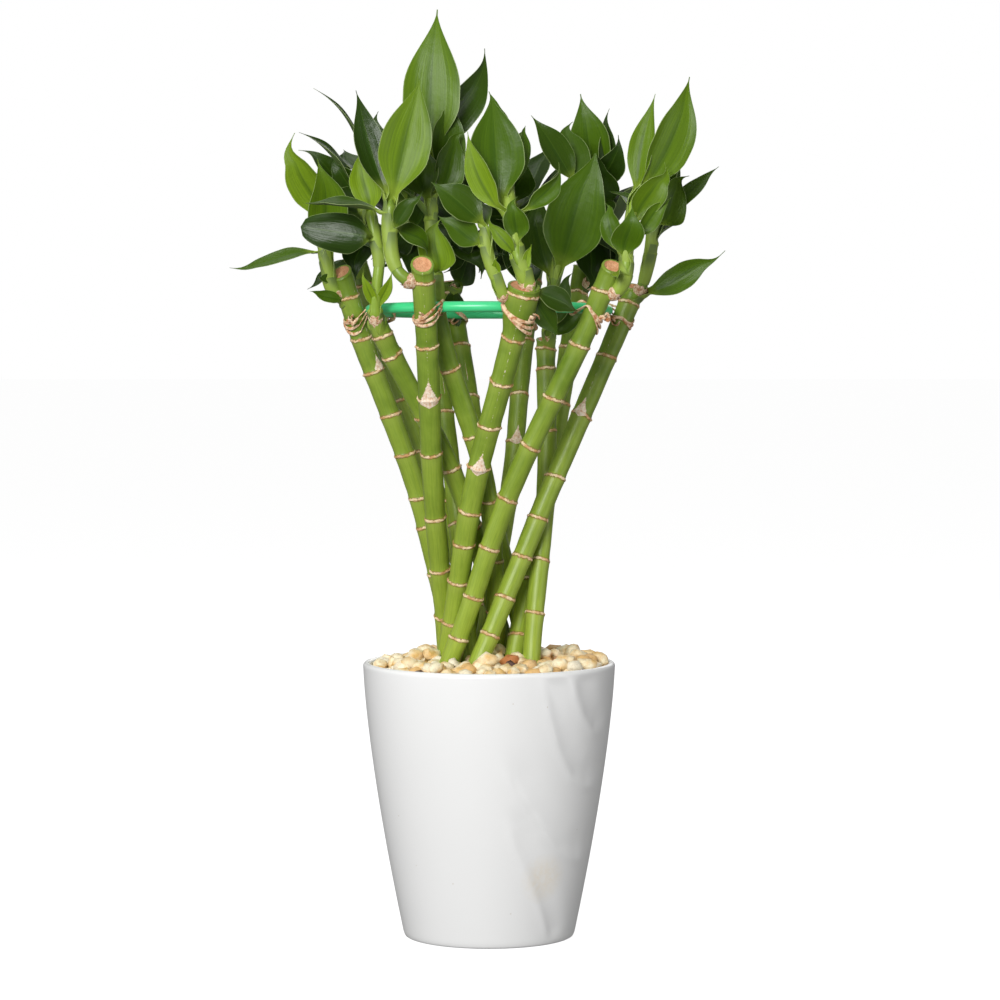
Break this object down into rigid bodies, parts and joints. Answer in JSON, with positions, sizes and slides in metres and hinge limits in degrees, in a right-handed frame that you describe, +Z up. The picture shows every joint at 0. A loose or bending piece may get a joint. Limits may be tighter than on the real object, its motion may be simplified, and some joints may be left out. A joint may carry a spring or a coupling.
{
  "type": "lucky bamboo in a pot",
  "caption": "Cut green canes with leafy shoots, held in a twisted ring by a hoop and twist ties, standing in gravel in a tapered glazed pot.",
  "frame": {"origin": "centre of the pot's flat foot, on the surface it stands on", "axes": "+Z up, -Y towards the front the plant is seen from, +X to the right of that view"},
  "size_m": [0.2331, 0.2055, 0.4376],
  "materials": {
    "pot_glaze": "satin white glaze",
    "gravel": "rough cream and ochre stones",
    "cane_skin": "smooth green bark",
    "hoop_plastic": "satin green",
    "tie_paper": "tan paper over wire",
    "leaf_green": "waxy green leaf"
  },
  "bodies": {
    "root": {"cane_01": "cane_skin", "cane_02": "cane_skin", "cane_03": "cane_skin", "cane_04": "cane_skin", "cane_05": "cane_skin", "cane_06": "cane_skin", "cane_07": "cane_skin", "cane_08": "cane_skin", "cane_09": "cane_skin", "cane_10": "cane_skin", "cane_11": "cane_skin", "cane_12": "cane_skin", "cane_13": "cane_skin", "gravel_bed": "gravel", "hoop": "hoop_plastic", "pot": "pot_glaze", "shoot_01": "leaf_green", "shoot_02": "leaf_green", "shoot_03": "leaf_green", "shoot_04": "leaf_green", "shoot_05": "leaf_green", "shoot_06": "leaf_green", "shoot_07": "leaf_green", "shoot_08": "leaf_green", "shoot_09": "leaf_green", "shoot_10": "leaf_green", "shoot_11": "leaf_green", "shoot_12": "leaf_green", "shoot_13": "leaf_green", "shoot_14": "leaf_green", "tie_01": "tie_paper", "tie_02": "tie_paper", "tie_04": "tie_paper", "tie_06": "tie_paper", "tie_07": "tie_paper", "tie_08": "tie_paper", "tie_09": "tie_paper", "tie_11": "tie_paper", "tie_12": "tie_paper", "tie_13": "tie_paper"}
  },
  "joints": []
}
